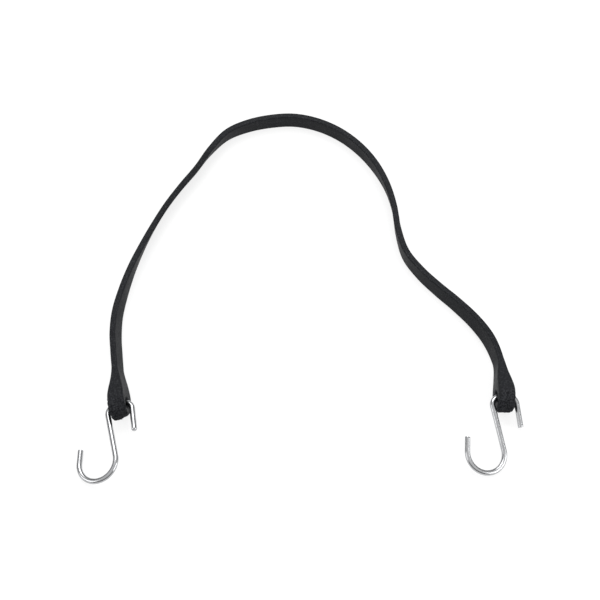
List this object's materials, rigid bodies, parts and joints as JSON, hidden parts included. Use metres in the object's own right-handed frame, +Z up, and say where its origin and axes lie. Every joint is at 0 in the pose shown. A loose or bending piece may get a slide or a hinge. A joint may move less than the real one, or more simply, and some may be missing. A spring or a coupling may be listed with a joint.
{
  "type": "rubber tie-down strap with hooks",
  "caption": "Flat moulded rubber tie-down strap bent into an arch, with a thick bored lug at each end and an open wire S-hook swinging in each bore.",
  "frame": {"origin": "on the surface the strap lies on, under the middle of its whole outline", "axes": "+Z up, +Y from the hooks towards the crown of the arch, +X from the left lug to the right lug"},
  "size_m": [0.4381, 0.4427, 0.0343],
  "materials": {
    "rubber": "matte moulded rubber",
    "zinc_wire": "bright zinc plating"
  },
  "bodies": {
    "strap": {"strap": "rubber"},
    "hook_left": {"hook_left": "zinc_wire"},
    "hook_right": {"hook_right": "zinc_wire"}
  },
  "joints": [
    {"name": "hook_left_swing", "type": "hinge", "parent": "strap", "child": "hook_left", "pos_m": [-0.1798, -0.1407, 0.01719], "axis": [0.983, 0.0805, 0.1651], "range_deg": [-140, 140]},
    {"name": "hook_right_swing", "type": "hinge", "parent": "strap", "child": "hook_right", "pos_m": [0.2006, -0.1321, 0.01687], "axis": [0.9955, 0.0537, -0.0785], "range_deg": [-140, 140]}
  ]
}
